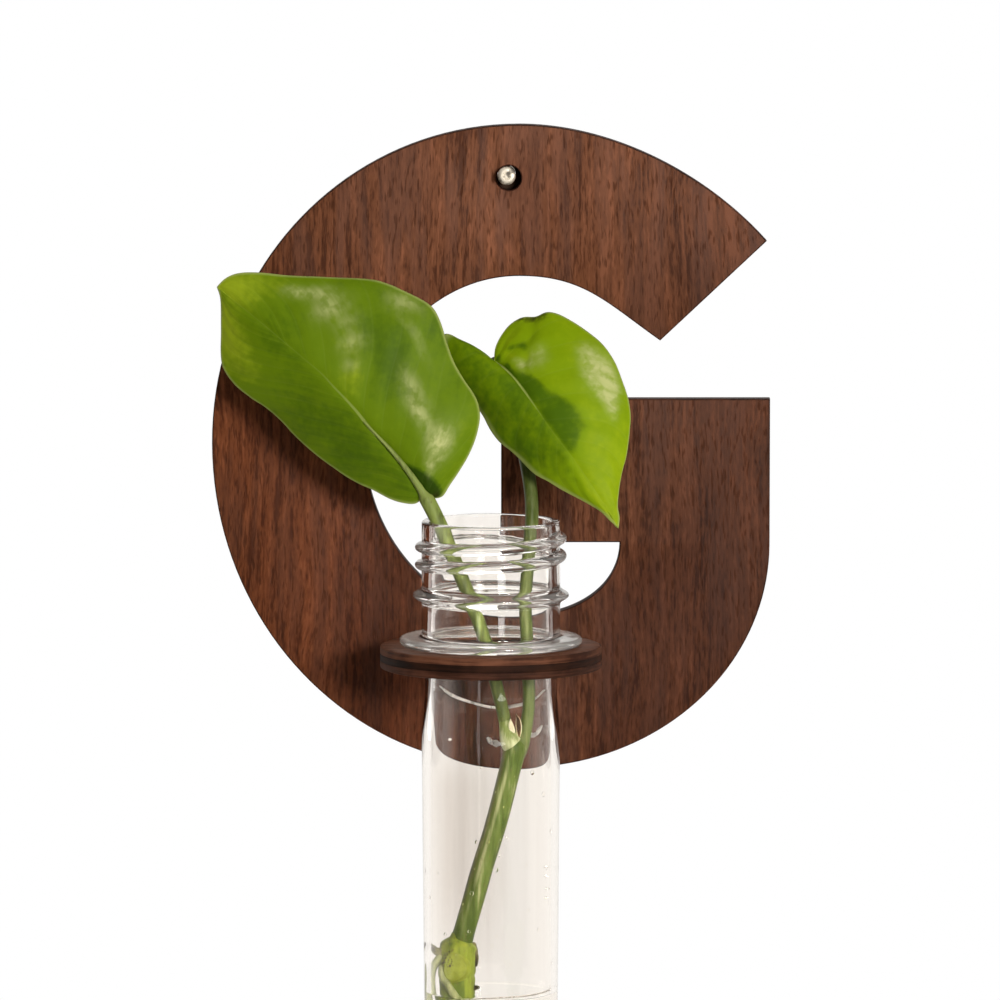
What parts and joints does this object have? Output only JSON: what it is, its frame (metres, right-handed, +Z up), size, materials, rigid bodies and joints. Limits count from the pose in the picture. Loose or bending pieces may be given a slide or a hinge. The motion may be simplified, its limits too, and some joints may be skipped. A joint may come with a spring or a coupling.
{
  "type": "hydroponic wall planter",
  "caption": "Wall-hung plywood block-letter board with a flat ring that carries a clear bottle-neck tube of water and a rooted leafy cutting; it hangs on a nail.",
  "frame": {"origin": "on the nail's axis where it enters the wall, in the plane of the board's back", "axes": "+X to the viewer's right as the letter reads, +Y into the wall, +Z up"},
  "size_m": [0.1019, 0.066, 0.1982],
  "materials": {
    "walnut_veneer": "oiled, satin",
    "plywood_core": "laser-cut edge, charred",
    "bright_steel": "bright",
    "clear_plastic": "clear, polished",
    "water": "clear",
    "green_stalk": "satin",
    "pale_cut": "matt",
    "dry_brown": "matt",
    "leaf_deep": "glossy",
    "leaf_bright": "glossy"
  },
  "bodies": {
    "nail": {"wall_nail": "bright_steel"},
    "holder": {"backboard_back_ply": "walnut_veneer", "backboard_core_ply": "plywood_core", "backboard_front_ply": "walnut_veneer", "ring_bottom_ply": "walnut_veneer", "ring_core_ply": "plywood_core", "ring_top_ply": "walnut_veneer"},
    "filled_tube": {"tube": "clear_plastic", "water": "water"},
    "cutting": {"stem": "green_stalk", "stem_foot": "green_stalk", "upper_node": "green_stalk", "lower_node": "green_stalk", "petiole_left": "green_stalk", "petiole_right": "green_stalk", "petiole_scar": "pale_cut", "dry_sheath": "dry_brown", "root_nub_left": "dry_brown", "root_long": "dry_brown", "root_nub_right": "dry_brown", "root_nub_low": "dry_brown", "leaf_left": "leaf_deep", "leaf_right": "leaf_bright"}
  },
  "joints": [
    {"name": "hang_swing", "type": "hinge", "parent": "nail", "child": "holder", "pos_m": [0, 0, 0], "axis": [0, 1, 0], "range_deg": [-20, 20]},
    {"name": "tube_lift", "type": "slide", "parent": "holder", "child": "filled_tube", "axis": [0, 0, 1], "range_m": [0, 0.112]},
    {"name": "cutting_lift", "type": "slide", "parent": "filled_tube", "child": "cutting", "axis": [0, 0, 1], "range_m": [0, 0.112], "deforming": ["water"]}
  ]
}
